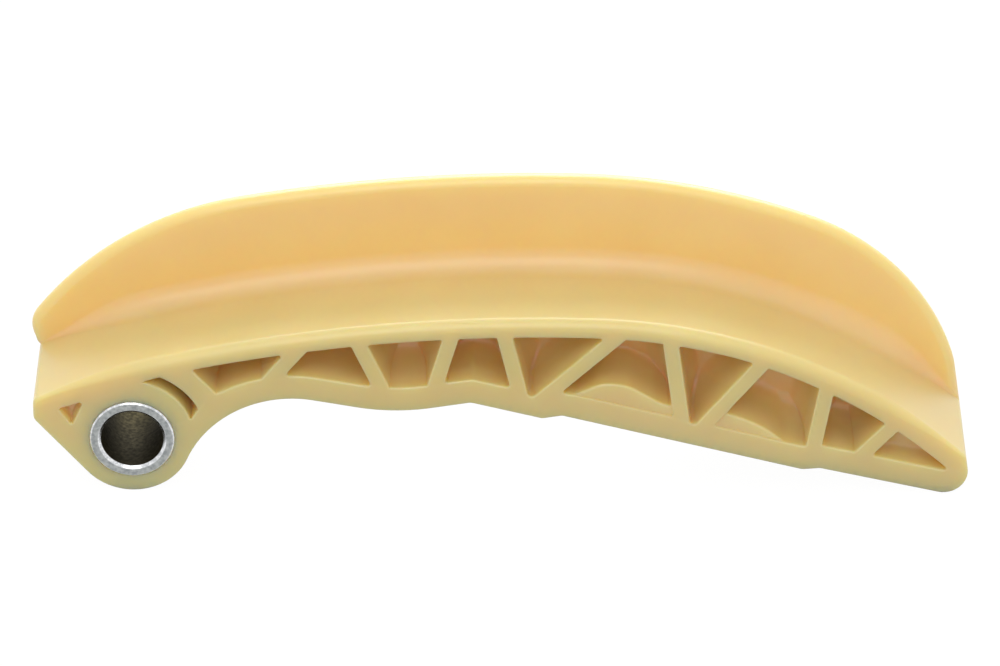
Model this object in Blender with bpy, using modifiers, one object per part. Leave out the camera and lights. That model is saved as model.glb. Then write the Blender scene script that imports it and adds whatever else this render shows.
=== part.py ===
"""Timing chain guide: a one-piece nylon rail with a steel sleeve pressed into its pivot boss.

The guide stands as it would on a bench, on the boss and the toe, with the chain track up.
X runs along the track from heel (pivot end) to toe, Y from the ribbed face to the plain face, Z up.
The outlines are drawn in the X-Z plane around the pivot axis and moved to the object's own centre.
"""
import math

import bmesh
import bpy
import numpy as np
from mathutils import Matrix, Vector

MM = 0.001

# Sleeve, for an M8 shoulder bolt
SLEEVE_DIAMETER = 12.0 * MM
SLEEVE_BORE = 8.8 * MM
SLEEVE_PROUD = 0.2 * MM
SLEEVE_OUTER_CHAMFER = 0.3 * MM
SLEEVE_INNER_CHAMFER = 0.4 * MM
SEAT_GAP = 0.3 * MM

# Depth of the moulding
TRACK_WIDTH = 16.0 * MM
FLANGE_THICKNESS = 2.8 * MM
POCKET_DEPTH = 8.6 * MM
SHELF_SETBACK = 0.8 * MM

# Walls
BOSS_WALL = 2.4 * MM
TRACK_WALL = 2.5 * MM
TRACK_TOE_WALL = 3.3 * MM
TRACK_WALL_GROWS_X = 85.0 * MM
LOWER_WALL = 3.7 * MM
RIB_THICKNESS = 2.2 * MM

# Chain track: a flat crown between a heel arc and a toe arc
TRACK_APEX_X = 58.2 * MM
TRACK_APEX_Z = 27.6 * MM
TRACK_CROWN_RADIUS = 231.0 * MM
TRACK_HEEL_TURN = math.radians(13.6)
TRACK_HEEL_RADIUS = 84.5 * MM
TRACK_TOE_TURN = math.radians(1.8)
TRACK_TOE_Z = 5.97 * MM

# Flange behind the track, a larger contour over the same crown
FLANGE_HEIGHT = 14.15 * MM
FLANGE_APEX_X = 57.55 * MM
FLANGE_CROWN_RADIUS = 233.5 * MM
FLANGE_HEEL_TURN = math.radians(10.4)
FLANGE_HEEL_RADIUS = 47.8 * MM
LOBE_TURN = math.radians(53.0)
LOBE_RADIUS = 3.8 * MM
LOBE_END_TURN = math.radians(142.0)
FLANGE_SHOULDER_TURN = math.radians(1.4)
FLANGE_TOE_TURN = math.radians(21.5)
FLANGE_TOE_RADIUS = 35.2 * MM
TOE_CORNER_TURN = math.radians(72.0)
TOE_CORNER_RADIUS = 13.5 * MM
TOE_END_TURN = math.radians(81.5)

# Ends and underside
HEEL_END_X = -13.85 * MM
HEEL_FOOT_Z = 10.6 * MM
HEEL_FOOT_RADIUS = 1.7 * MM
HEEL_TOP_RADIUS = 1.1 * MM
HEEL_ROOT_LEAN = 0.2
HEEL_ROOT_ROUNDER = 0.45
TOE_TOP_RADIUS = 1.4 * MM
TOE_NOSE_X = 114.96 * MM
TOE_NOSE_RADIUS = 3.4 * MM
ARCH_RADIUS = 16.3 * MM
ARCH_BEARING = math.radians(-23.05)

# Corners of the underside from the arch to the middle: x, z and corner radius
UNDERSIDE_CORNERS = (
    (37.0 * MM, 12.7 * MM, 32.0 * MM),
    (47.87 * MM, 14.5 * MM, 2.0 * MM),
    (57.95 * MM, 11.95 * MM, 1.0 * MM),
    (60.75 * MM, 12.42 * MM, 1.0 * MM),
)
# Corners of the small step before the nose: distance back from the nose, z and corner radius
STEP_CORNERS = (
    (20.1 * MM, 3.73 * MM, 1.6 * MM),
    (17.6 * MM, 3.94 * MM, 1.6 * MM),
)

# Ribs of the truss, each from its head under the track to its foot on the lower wall
RIBS = (
    (23.2 * MM, 20.0 * MM),
    (32.2 * MM, 35.2 * MM),
    (45.0 * MM, 42.9 * MM),
    (52.6 * MM, 54.6 * MM),
    (68.1 * MM, 58.6 * MM),
    (75.9 * MM, 77.6 * MM),
    (88.6 * MM, 81.0 * MM),
    (97.9 * MM, 96.4 * MM),
    (107.3 * MM, 103.4 * MM),
)
TRUSS_HEEL_HEAD_X = 8.6 * MM
TRUSS_HEEL_FOOT_X = 12.0 * MM
TRUSS_TIP_HEIGHT = 0.6 * MM
POCKET_CORNER_RADIUS = 0.5 * MM

# Shelves on the lower wall inside two of the pockets: x and rise above the wall, rooted in wall and ribs
SHELVES = (
    (
        (61.9 * MM, -0.6 * MM), (64.5 * MM, 1.4 * MM), (65.8 * MM, 2.3 * MM), (68.2 * MM, 3.05 * MM),
        (70.2 * MM, 3.15 * MM), (71.8 * MM, 2.65 * MM), (75.0 * MM, 1.6 * MM), (77.4 * MM, 1.3 * MM),
    ),
    (
        (82.0 * MM, 2.6 * MM), (85.8 * MM, 2.2 * MM), (88.2 * MM, 1.75 * MM), (90.2 * MM, 1.0 * MM),
        (92.6 * MM, -0.4 * MM),
    ),
)
SHELF_ROOT = 0.8 * MM

# Lightening pockets in the boss
CRESCENT_INNER_RADIUS = 8.9 * MM
CRESCENT_OUTER_RADIUS = 10.6 * MM
CRESCENT_INNER_ARC = (math.radians(21.0), math.radians(80.0))
CRESCENT_OUTER_ARC = (math.radians(27.5), math.radians(69.0))
HEEL_POCKET_CORNERS = ((-10.6 * MM, 13.3 * MM), (-6.8 * MM, 14.45 * MM), (-8.25 * MM, 10.4 * MM))

# Rounded edges
FACE_EDGE_RADIUS = 0.4 * MM
TRACK_EDGE_RADIUS = 0.9 * MM
FLANGE_EDGE_RADIUS = 1.3 * MM
FLANGE_ROOT_RADIUS = 3.4 * MM
EDGE_EASE_FROM = 1.2 * MM
EDGE_EASE_LENGTH = 2.8 * MM

# Fineness of the mesh
TRACK_STEPS = 40
CHORD_ERROR = 0.04 * MM
LARGEST_STEP = math.radians(30.0)
STRAIGHT = math.radians(12.0)
END_CORNER_STEPS = 3
HEEL_WALL_STEPS = 5
FACE_EDGE_SHARES = (0.0, 0.13, 0.44, 1.0)
EDGE_STEPS = 2
ROOT_STEPS = 4
SLEEVE_SIDES = 40

NYLON_COLOUR = (0.76, 0.55, 0.22, 1.0)
STEEL_COLOUR = (0.55, 0.58, 0.62, 1.0)

BODY_DEPTH = TRACK_WIDTH + FLANGE_THICKNESS
SLEEVE_RADIUS = SLEEVE_DIAMETER / 2
BOSS_RADIUS = SLEEVE_RADIUS + BOSS_WALL
PIVOT = Vector((0.0, BOSS_RADIUS))
NOSE = Vector((TOE_NOSE_X, TOE_NOSE_RADIUS))
FLANGE_APEX_Z = TRACK_APEX_Z + FLANGE_HEIGHT


def bearing(angle):
    """Unit vector in the X-Z plane, angle counted from +X towards +Z."""
    return Vector((math.cos(angle), math.sin(angle)))


def arc(centre, radius, start, end, count=None):
    """Points of an arc, both ends included, close enough to stay within the chord error."""
    if count is None:
        step = min(2 * math.acos(max(0.0, 1 - CHORD_ERROR / radius)), LARGEST_STEP)
        count = max(1, math.ceil(abs(end - start) / step))
    return [centre + radius * bearing(start + (end - start) * i / count) for i in range(count + 1)]


class Crown:
    """A crest made of tangent arcs on each side of its apex.

    Each side is a list of (radius, turn): the arc runs until the surface has turned that far.
    """

    def __init__(self, apex_x, apex_z, heel, toe):
        self.apex_x = apex_x
        self.sides = {-1: self.centres(apex_z, heel), 1: self.centres(apex_z, toe)}

    @staticmethod
    def centres(apex_z, arcs):
        placed = []
        along, height = 0.0, apex_z - arcs[0][0]
        for index, (radius, turn) in enumerate(arcs):
            placed.append((along, height, radius, turn))
            if index + 1 < len(arcs):
                change = radius - arcs[index + 1][0]
                along += change * math.sin(turn)
                height += change * math.cos(turn)
        return placed

    def point(self, side, turn):
        """The point where the crest has turned by this much on the given side."""
        for along, height, radius, limit in self.sides[side]:
            if turn <= limit + 1e-9:
                break
        x = along + radius * math.sin(turn)
        return Vector((self.apex_x + side * x, height + radius * math.cos(turn)))

    def turn_at(self, x):
        """How far the crest has turned, down towards the nearer end, at x."""
        side = 1 if x >= self.apex_x else -1
        away = abs(x - self.apex_x)
        for along, _height, radius, limit in self.sides[side]:
            reach = min((away - along) / radius, 1.0)
            if math.asin(reach) <= limit:
                break
        return side, math.asin(reach)

    def height(self, x):
        side, turn = self.turn_at(x)
        return self.point(side, turn).y

    def below(self, x, wall):
        """Height at x of the surface that lies one wall thickness under the crest."""
        _side, turn = self.turn_at(x)
        return self.height(x) - wall / math.cos(turn)


def turned(start, end):
    """The way from one end of an arc of radius 1 to the other, as the crest turns down towards the toe."""
    return Vector((math.sin(end) - math.sin(start), math.cos(end) - math.cos(start)))


def shoulder_radius():
    """Radius of the flange's shoulder with which the end face comes down to touch the nose."""
    end = Vector((FLANGE_APEX_X, FLANGE_APEX_Z))
    end += FLANGE_CROWN_RADIUS * turned(0.0, FLANGE_SHOULDER_TURN)
    end += FLANGE_TOE_RADIUS * turned(FLANGE_TOE_TURN, TOE_CORNER_TURN)
    end += TOE_CORNER_RADIUS * turned(TOE_CORNER_TURN, TOE_END_TURN)
    normal = bearing(math.pi / 2 - TOE_END_TURN)
    short = (NOSE - end).dot(normal) + TOE_NOSE_RADIUS
    return short / turned(FLANGE_SHOULDER_TURN, FLANGE_TOE_TURN).dot(normal)


FLANGE = Crown(
    FLANGE_APEX_X, FLANGE_APEX_Z,
    heel=[(FLANGE_CROWN_RADIUS, FLANGE_HEEL_TURN), (FLANGE_HEEL_RADIUS, LOBE_TURN),
          (LOBE_RADIUS, LOBE_END_TURN)],
    toe=[(FLANGE_CROWN_RADIUS, FLANGE_SHOULDER_TURN), (shoulder_radius(), FLANGE_TOE_TURN),
         (FLANGE_TOE_RADIUS, TOE_CORNER_TURN), (TOE_CORNER_RADIUS, TOE_END_TURN)],
)


def line_crossing(point_a, direction_a, point_b, direction_b):
    """Where two lines of the X-Z plane meet."""
    across = direction_a.x * direction_b.y - direction_a.y * direction_b.x
    gap = point_b - point_a
    return point_a + direction_a * ((gap.x * direction_b.y - gap.y * direction_b.x) / across)


def rounded_corner(before, corner, after, radius, count=None):
    """Points of the fillet that rounds a corner of a polygon."""
    into = (before - corner).normalized()
    out = (after - corner).normalized()
    half = into.angle(out) / 2
    if math.pi - 2 * half < STRAIGHT and count is None:
        return [corner]
    reach = min(radius / math.tan(half), 0.49 * (before - corner).length, 0.49 * (after - corner).length)
    radius = reach * math.tan(half)
    centre = corner + (into + out).normalized() * (radius / math.sin(half))
    first = corner + into * reach - centre
    last = corner + out * reach - centre
    start = math.atan2(first.y, first.x)
    sweep = (math.atan2(last.y, last.x) - start + math.pi) % (2 * math.pi) - math.pi
    return arc(centre, radius, start, start + sweep, count)


def tangent_bearing(centre, radius, outside, side):
    """Bearing of the point where a line from an outside point touches a circle."""
    gap = outside - centre
    return math.atan2(gap.y, gap.x) + side * math.acos(radius / gap.length)


def toe_end():
    """The leaning end face: a point on it and its downward direction."""
    top = FLANGE.point(1, TOE_END_TURN)
    return top, Vector((math.cos(TOE_END_TURN), -math.sin(TOE_END_TURN)))


def on_toe_end(height):
    """The point of the end face at this height."""
    top, down = toe_end()
    return top + down * ((top.y - height) / -down.y)


def track_toe_radius():
    """Radius of the toe arc, which leaves the crown smoothly and ends on the end face."""
    normal = bearing(math.pi / 2 - TRACK_TOE_TURN)
    start = Vector((TRACK_APEX_X, TRACK_APEX_Z - TRACK_CROWN_RADIUS)) + TRACK_CROWN_RADIUS * normal
    reach = on_toe_end(TRACK_TOE_Z) - start
    return -reach.length_squared / (2 * reach.dot(normal))


TRACK = Crown(
    TRACK_APEX_X, TRACK_APEX_Z,
    heel=[(TRACK_CROWN_RADIUS, TRACK_HEEL_TURN), (TRACK_HEEL_RADIUS, math.pi / 2)],
    toe=[(TRACK_CROWN_RADIUS, TRACK_TOE_TURN), (track_toe_radius(), math.pi / 2)],
)


def ceiling(x):
    """Height at x of the track wall's inner side; the wall grows thicker towards the toe."""
    wall = np.interp(x, (TRACK_WALL_GROWS_X, TOE_NOSE_X), (TRACK_WALL, TRACK_TOE_WALL))
    return TRACK.below(x, float(wall))


def underside():
    """Outline below the track, from the toe end face round the underside and up the heel end."""
    step = [(TOE_NOSE_X - back, z, radius) for back, z, radius in STEP_CORNERS]
    corners = [Vector((x, z)) for x, z, _radius in UNDERSIDE_CORNERS + tuple(step)]
    radii = [radius for _x, _z, radius in UNDERSIDE_CORNERS + tuple(step)]
    points = arc(NOSE, TOE_NOSE_RADIUS, math.pi / 2 - TOE_END_TURN,
                 tangent_bearing(NOSE, TOE_NOSE_RADIUS, corners[-1], 1) - 2 * math.pi)

    arch_centre = PIVOT + (BOSS_RADIUS + ARCH_RADIUS) * bearing(ARCH_BEARING)
    arch_end = tangent_bearing(arch_centre, ARCH_RADIUS, corners[0], 1)
    arch_last = arch_centre + ARCH_RADIUS * bearing(arch_end)
    before = points[-1]
    for index in range(len(corners) - 1, -1, -1):
        after = corners[index - 1] if index > 0 else arch_last
        points += rounded_corner(before, corners[index], after, radii[index])
        before = corners[index]
    points += arc(arch_centre, ARCH_RADIUS, arch_end, ARCH_BEARING + math.pi)

    foot = Vector((HEEL_END_X + HEEL_FOOT_RADIUS, HEEL_FOOT_Z + HEEL_FOOT_RADIUS))
    gap = foot - PIVOT
    slant = math.atan2(gap.y, gap.x) + math.acos((BOSS_RADIUS - HEEL_FOOT_RADIUS) / gap.length)
    points += arc(PIVOT, BOSS_RADIUS, ARCH_BEARING, slant - 2 * math.pi)[1:]
    points += arc(foot, HEEL_FOOT_RADIUS, slant, math.pi)[:-1]
    return points


def spread(points, count):
    """The same path with evenly spaced points."""
    lengths = [0.0]
    for a, b in zip(points, points[1:]):
        lengths.append(lengths[-1] + (b - a).length)
    places = np.linspace(0.0, lengths[-1], count)
    xs = np.interp(places, lengths, [p.x for p in points])
    zs = np.interp(places, lengths, [p.y for p in points])
    return [Vector((x, z)) for x, z in zip(xs, zs)]


def track_top(lift):
    """Upper outline at the track, lifted along its normal; the lifted heel end leans in under the lobe."""
    heel_x = HEEL_END_X + HEEL_ROOT_LEAN * lift
    stations = np.linspace(heel_x, on_toe_end(TRACK_TOE_Z).x, TRACK_STEPS + 1)
    path = []
    for x in stations:
        side, turn = TRACK.turn_at(x)
        path.append(Vector((x, TRACK.height(x) + lift / math.cos(turn))))
    path[-1] = on_toe_end(path[-1].y)
    heel_radius = HEEL_TOP_RADIUS + HEEL_ROOT_ROUNDER * lift
    heel = rounded_corner(heel_joint(), path[0], path[1], heel_radius, END_CORNER_STEPS)
    toe = rounded_corner(path[-2], path[-1], toe_joint(), TOE_TOP_RADIUS, END_CORNER_STEPS)
    wall = [heel_joint().lerp(heel[0], step / HEEL_WALL_STEPS) for step in range(HEEL_WALL_STEPS)]
    return wall + heel, path[1:-1], toe + [toe_joint()]


def heel_joint():
    """Upper end of the rounded heel foot, where the heel end face begins."""
    return Vector((HEEL_END_X, HEEL_FOOT_Z + HEEL_FOOT_RADIUS))


def toe_joint():
    """Point of the leaning end face halfway between the track and the nose."""
    return on_toe_end((TRACK_TOE_Z + TOE_NOSE_RADIUS) / 2)


def flange_top(inset, like):
    """Upper outline at the flange, with as many points as the track outline it rises from."""
    start, middle, finish = like
    lobe = [FLANGE.point(-1, LOBE_TURN + (LOBE_END_TURN - LOBE_TURN) * i / 12) for i in range(13)]
    heel_part = [heel_joint()] + lobe[::-1]
    crest = []
    for turn in np.linspace(LOBE_TURN, 0.0, 40)[1:]:
        crest.append(FLANGE.point(-1, turn))
    for turn in np.linspace(0.0, TOE_END_TURN, 60)[1:]:
        crest.append(FLANGE.point(1, turn))
    head = spread(heel_part, len(start))
    rest = spread([heel_part[-1]] + crest + [toe_joint()], len(middle) + len(finish) + 1)[1:]
    return inset_path(head + rest, inset)


def root_top():
    """The point of the end face that the flange's root reaches."""
    return track_top(FLANGE_ROOT_RADIUS)[2][0]


def easing(path):
    """For each point of an open path, how much of the flange's rounding it has: none near both ends."""
    travelled = [0.0]
    for a, b in zip(path, path[1:]):
        travelled.append(travelled[-1] + (b - a).length)
    toe_clear = travelled[-1] - (root_top() - toe_joint()).length
    past = [min(length - EDGE_EASE_FROM, toe_clear - length) for length in travelled]
    return [min(1.0, max(0.0, length / EDGE_EASE_LENGTH)) for length in past]


def inset_path(path, inset):
    """An open path moved to its right-hand side, except at both ends."""
    moved = []
    for index, (point, share) in enumerate(zip(path, easing(path))):
        direction = (path[min(index + 1, len(path) - 1)] - path[max(index - 1, 0)]).normalized()
        moved.append(point + Vector((direction.y, -direction.x)) * inset * share)
    return moved


def rounded_in(radius, depth):
    """How far a rounded edge stands back from its side at this depth under the face."""
    short = max(radius - depth, 0.0)
    return radius - math.sqrt(radius * radius - short * short)


def edge_loop(outline, depth, radii):
    """A closed clockwise outline drawn in by its rounded edge, whose first points have their own radii."""
    count = len(outline)
    moved = []
    for index, point in enumerate(outline):
        radius = radii[index] if index < len(radii) else FACE_EDGE_RADIUS
        direction = (outline[(index + 1) % count] - outline[index - 1]).normalized()
        moved.append(point + Vector((direction.y, -direction.x)) * rounded_in(radius, depth))
    return moved


def body_sections():
    """The moulding as outlines stacked along the depth: (depth, outline) from the ribbed face back."""
    lower = underside()
    plain = track_top(0.0)
    top = sum(plain, [])
    quarter = math.pi / 2
    sections = []
    for share in FACE_EDGE_SHARES:
        depth = TRACK_EDGE_RADIUS * share
        sections.append((depth, edge_loop(top + lower, depth, [TRACK_EDGE_RADIUS] * len(top))))
    for step in range(ROOT_STEPS + 1):
        turn = quarter * step / ROOT_STEPS
        lift = FLANGE_ROOT_RADIUS * (1 - math.cos(turn))
        depth = TRACK_WIDTH - FLANGE_ROOT_RADIUS * (1 - math.sin(turn))
        sections.append((depth, sum(track_top(lift), []) + lower))
    for step in range(EDGE_STEPS + 1):
        turn = quarter * step / EDGE_STEPS
        inset = FLANGE_EDGE_RADIUS * (1 - math.sin(turn))
        depth = TRACK_WIDTH + FLANGE_EDGE_RADIUS * (1 - math.cos(turn))
        sections.append((depth, flange_top(inset, plain) + lower))
    flange = flange_top(0.0, plain)
    rounder = FLANGE_EDGE_RADIUS - FACE_EDGE_RADIUS
    radii = [FACE_EDGE_RADIUS + rounder * share for share in easing(flange)]
    for share in FACE_EDGE_SHARES[::-1]:
        depth = FLANGE_EDGE_RADIUS * share
        sections.append((BODY_DEPTH - depth, edge_loop(flange + lower, depth, radii)))
    return sections


def lower_wall_height(outline, x):
    """Height at x of the lower wall's inner side."""
    step = 0.5 * MM
    here, ahead = (float(np.interp(place, *outline)) for place in (x, x + step))
    return here + LOWER_WALL * math.hypot(1.0, (ahead - here) / step)


def truss_tip(outline):
    """Where the track wall and the lower wall come within the tip height of each other."""
    low, high = UNDERSIDE_CORNERS[0][0], TOE_NOSE_X
    for _attempt in range(30):
        middle = (low + high) / 2
        if ceiling(middle) - lower_wall_height(outline, middle) > TRUSS_TIP_HEIGHT:
            low = middle
        else:
            high = middle
    return low


def rib_side(outline, rib, side):
    """One face of a rib, cut off at the track wall and at the lower wall: head and foot."""
    head = Vector((rib[0], ceiling(rib[0])))
    foot = Vector((rib[1], lower_wall_height(outline, rib[1])))
    along = (foot - head).normalized()
    shift = Vector((-along.y, along.x)) * (side * RIB_THICKNESS / 2)
    top = head + shift
    bottom = foot + shift
    for _attempt in range(6):
        top -= along * ((ceiling(top.x) - top.y) / -along.y)
        bottom += along * ((bottom.y - lower_wall_height(outline, bottom.x)) / -along.y)
    return top, bottom


def between(left, right, height):
    """Points strictly between two x positions, about every 5 mm, at the given heights."""
    count = int(abs(right - left) / (5.0 * MM))
    return [Vector((x, height(x))) for x in np.linspace(left, right, count + 2)[1:-1]]


def pocket_corners(outline, left_side, right_side):
    """Corners of a truss pocket between two rib faces, clockwise from its upper left."""
    top_left, bottom_left = left_side
    top_right, bottom_right = right_side
    corners = [top_left] + between(top_left.x, top_right.x, ceiling) + [top_right]
    if bottom_right.x - bottom_left.x < 2 * POCKET_CORNER_RADIUS:
        tip = line_crossing(top_left, bottom_left - top_left, top_right, bottom_right - top_right)
        return corners + [tip]
    floor = between(bottom_right.x, bottom_left.x, lambda x: lower_wall_height(outline, x))
    return corners + [bottom_right] + floor + [bottom_left]


def shelf_outline(outline, shelf):
    """A shelf with its roots in the lower wall."""
    crest = [Vector((x, lower_wall_height(outline, x) + rise)) for x, rise in shelf]
    first, last = shelf[0][0], shelf[-1][0]
    return crest + [Vector((x, lower_wall_height(outline, x) - SHELF_ROOT)) for x in (last, first)]


def rounded_polygon(corners, radius):
    points = []
    for index, corner in enumerate(corners):
        points += rounded_corner(corners[index - 1], corner, corners[(index + 1) % len(corners)], radius)
    return points


def pockets():
    """Outlines of the pockets, the same in both faces, and of the shelves that stand in the ribbed face."""
    lower = sorted(underside(), key=lambda point: point.x)
    run = [point for point in lower if point.x > BOSS_RADIUS]
    outline = ([point.x for point in run], [point.y for point in run])
    heel_head = Vector((TRUSS_HEEL_HEAD_X, ceiling(TRUSS_HEEL_HEAD_X)))
    heel_foot = Vector((TRUSS_HEEL_FOOT_X, lower_wall_height(outline, TRUSS_HEEL_FOOT_X)))
    tip_x = truss_tip(outline)
    toe_head = Vector((tip_x, ceiling(tip_x)))
    toe_foot = Vector((tip_x, lower_wall_height(outline, tip_x)))
    faces = [(heel_head, heel_foot)]
    for rib in RIBS:
        if max(rib) + RIB_THICKNESS < tip_x:
            faces += [rib_side(outline, rib, -1), rib_side(outline, rib, 1)]
    faces.append((toe_head, toe_foot))

    hollows = []
    for left, right in zip(faces[::2], faces[1::2]):
        hollows.append(rounded_polygon(pocket_corners(outline, left, right), POCKET_CORNER_RADIUS))
    inner = arc(PIVOT, CRESCENT_INNER_RADIUS, *CRESCENT_INNER_ARC)
    outer = arc(PIVOT, CRESCENT_OUTER_RADIUS, *CRESCENT_OUTER_ARC)
    hollows.append(inner + outer[::-1])
    hollows.append(rounded_polygon([Vector(corner) for corner in HEEL_POCKET_CORNERS], POCKET_CORNER_RADIUS))
    return hollows, [shelf_outline(outline, shelf) for shelf in SHELVES]


def centre_offset():
    """Moves the drawing's pivot frame to the middle of the object's footprint."""
    heel = FLANGE.point(-1, math.pi / 2).x
    nose = TOE_NOSE_X + TOE_NOSE_RADIUS
    return Vector((-(heel + nose) / 2, -BODY_DEPTH / 2, 0.0))


def placed(points, depth, offset):
    return [Vector((point.x, depth, point.y)) + offset for point in points]


def nylon():
    return material("cream_nylon", NYLON_COLOUR, 0.38, 0.0)


def steel():
    return material("zinc_plated_steel", STEEL_COLOUR, 0.32, 1.0)


def material(name, colour, roughness, metallic):
    made = bpy.data.materials.new(name)
    made.use_nodes = True
    shader = made.node_tree.nodes["Principled BSDF"]
    shader.inputs["Base Color"].default_value = colour
    shader.inputs["Roughness"].default_value = roughness
    shader.inputs["Metallic"].default_value = metallic
    return made


def lofted_body(offset):
    """Skin of the moulding: the first outline extruded from section to section, and both faces closed."""
    bm = bmesh.new()
    ring, edges = [], []
    for depth, outline in body_sections():
        places = placed(outline, depth, offset)
        if not ring:
            ring = [bm.verts.new(place) for place in places]
            edges = [bm.edges.new((ring[i - 1], ring[i])) for i in range(len(ring))]
            bmesh.ops.contextual_create(bm, geom=edges)
            continue
        made = bmesh.ops.extrude_edge_only(bm, edges=edges)["geom"]
        fresh = {item for item in made if isinstance(item, bmesh.types.BMVert)}
        ring = [next(e.other_vert(v) for e in v.link_edges if e.other_vert(v) in fresh) for v in ring]
        for vert, place in zip(ring, places):
            vert.co = place
        edges = [bm.edges.get((ring[i - 1], ring[i])) for i in range(len(ring))]
    bmesh.ops.contextual_create(bm, geom=edges)
    bmesh.ops.remove_doubles(bm, verts=bm.verts, dist=0.00001)
    bmesh.ops.recalc_face_normals(bm, faces=bm.faces)
    mesh = bpy.data.meshes.new("guide_body")
    bm.to_mesh(mesh)
    bm.free()
    return mesh


def outline_prism(name, outline, start, end, offset, cutters):
    """A flat outline pulled from one depth to another, kept as a cutter."""
    curve = bpy.data.curves.new(name, "CURVE")
    curve.dimensions = "2D"
    curve.fill_mode = "BOTH"
    curve.extrude = (end - start) / 2
    spline = curve.splines.new("POLY")
    spline.points.add(len(outline) - 1)
    for target, point in zip(spline.points, outline):
        target.co = (point.x, point.y, 0.0, 1.0)
    spline.use_cyclic_u = True
    source = bpy.data.objects.new(name, curve)
    bpy.context.scene.collection.objects.link(source)
    evaluated = source.evaluated_get(bpy.context.evaluated_depsgraph_get())
    mesh = bpy.data.meshes.new_from_object(evaluated)
    bpy.data.objects.remove(source)
    bm = bmesh.new()
    bm.from_mesh(mesh)
    bmesh.ops.remove_doubles(bm, verts=bm.verts, dist=0.00001)
    bmesh.ops.recalc_face_normals(bm, faces=bm.faces)
    middle = offset + Vector((0.0, (start + end) / 2, 0.0))
    bm.transform(Matrix.Translation(middle) @ Matrix.Rotation(math.pi / 2, 4, "X"))
    bm.to_mesh(mesh)
    bm.free()
    cutter = bpy.data.objects.new(name, mesh)
    cutters.objects.link(cutter)
    return cutter


def make_body(parts, cutters, offset):
    """The moulded rail with its truss pockets, its shelves and the seat for the sleeve."""
    body = bpy.data.objects.new("guide_body", lofted_body(offset))
    parts.objects.link(body)
    body.data.materials.append(nylon())
    hollows, shelves = pockets()
    clear = FACE_EDGE_RADIUS
    floor = BODY_DEPTH - POCKET_DEPTH
    cuts = []
    for index, outline in enumerate(hollows):
        cuts.append(outline_prism(f"front_pocket_{index}", outline, -clear, POCKET_DEPTH, offset, cutters))
        cuts.append(outline_prism(f"back_pocket_{index}", outline, floor, BODY_DEPTH + clear, offset, cutters))
    added = []
    for index, outline in enumerate(shelves):
        root = POCKET_DEPTH + SHELF_ROOT
        added.append(outline_prism(f"shelf_{index}", outline, SHELF_SETBACK, root, offset, cutters))
    bpy.ops.mesh.primitive_cylinder_add(
        vertices=SLEEVE_SIDES, radius=SLEEVE_RADIUS + SEAT_GAP, depth=BODY_DEPTH + 2 * clear,
        location=offset + Vector((PIVOT.x, BODY_DEPTH / 2, PIVOT.y)), rotation=(math.pi / 2, 0.0, 0.0))
    seat = bpy.context.object
    seat.name = "sleeve_seat"
    for group in seat.users_collection:
        group.objects.unlink(seat)
    cutters.objects.link(seat)
    for tool in cuts + [seat] + added:
        tool.hide_render = True
        tool.display_type = "WIRE"
        change = body.modifiers.new(tool.name, "BOOLEAN")
        change.operation = "UNION" if tool in added else "DIFFERENCE"
        change.solver = "EXACT"
        change.object = tool
    return body


def make_sleeve(parts, offset):
    """The pressed-in sleeve, turned from its half section around the pivot axis."""
    half = BODY_DEPTH / 2 + SLEEVE_PROUD
    bore = SLEEVE_BORE / 2
    outer = SLEEVE_OUTER_CHAMFER
    inner = SLEEVE_INNER_CHAMFER
    section = (
        (SLEEVE_RADIUS - outer, half),
        (SLEEVE_RADIUS, half - outer),
        (SLEEVE_RADIUS, outer - half),
        (SLEEVE_RADIUS - outer, -half),
        (bore + inner, -half),
        (bore, inner - half),
        (bore, half - inner),
        (bore + inner, half),
    )
    mesh = bpy.data.meshes.new("pivot_sleeve")
    bm = bmesh.new()
    verts = [bm.verts.new((radius, 0.0, height)) for radius, height in section]
    for index in range(len(verts)):
        bm.edges.new((verts[index - 1], verts[index]))
    bm.to_mesh(mesh)
    bm.free()
    sleeve = bpy.data.objects.new("pivot_sleeve", mesh)
    parts.objects.link(sleeve)
    sleeve.location = offset + Vector((PIVOT.x, BODY_DEPTH / 2, PIVOT.y))
    sleeve.rotation_euler = (math.pi / 2, 0.0, 0.0)
    turn = sleeve.modifiers.new("turned", "SCREW")
    turn.axis = "Z"
    turn.angle = 2 * math.pi
    turn.steps = SLEEVE_SIDES
    turn.render_steps = SLEEVE_SIDES
    turn.use_merge_vertices = True
    turn.merge_threshold = 0.00001
    turn.use_smooth_shade = False
    mesh.materials.append(steel())
    return sleeve


def main():
    for leftover in list(bpy.data.objects):
        bpy.data.objects.remove(leftover)
    parts = bpy.data.collections.new("timing_chain_guide")
    cutters = bpy.data.collections.new("cutters")
    for group in (parts, cutters):
        bpy.context.scene.collection.children.link(group)
    offset = centre_offset()
    make_body(parts, cutters, offset)
    make_sleeve(parts, offset)


main()
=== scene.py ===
"""Timing chain guide: the moulded rail and its pivot sleeve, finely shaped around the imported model.

The rail is one nylon moulding with a chain track, a flange behind it, a truss of pockets on both faces and
a boss with a pressed-in steel sleeve. Outlines are drawn in the X-Z plane around the pivot axis, as seen from
the ribbed face, and stacked along the depth, which is counted from the ribbed face back.
"""
import math

import bmesh
import bpy
import numpy as np
from mathutils import Matrix, Vector


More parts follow.
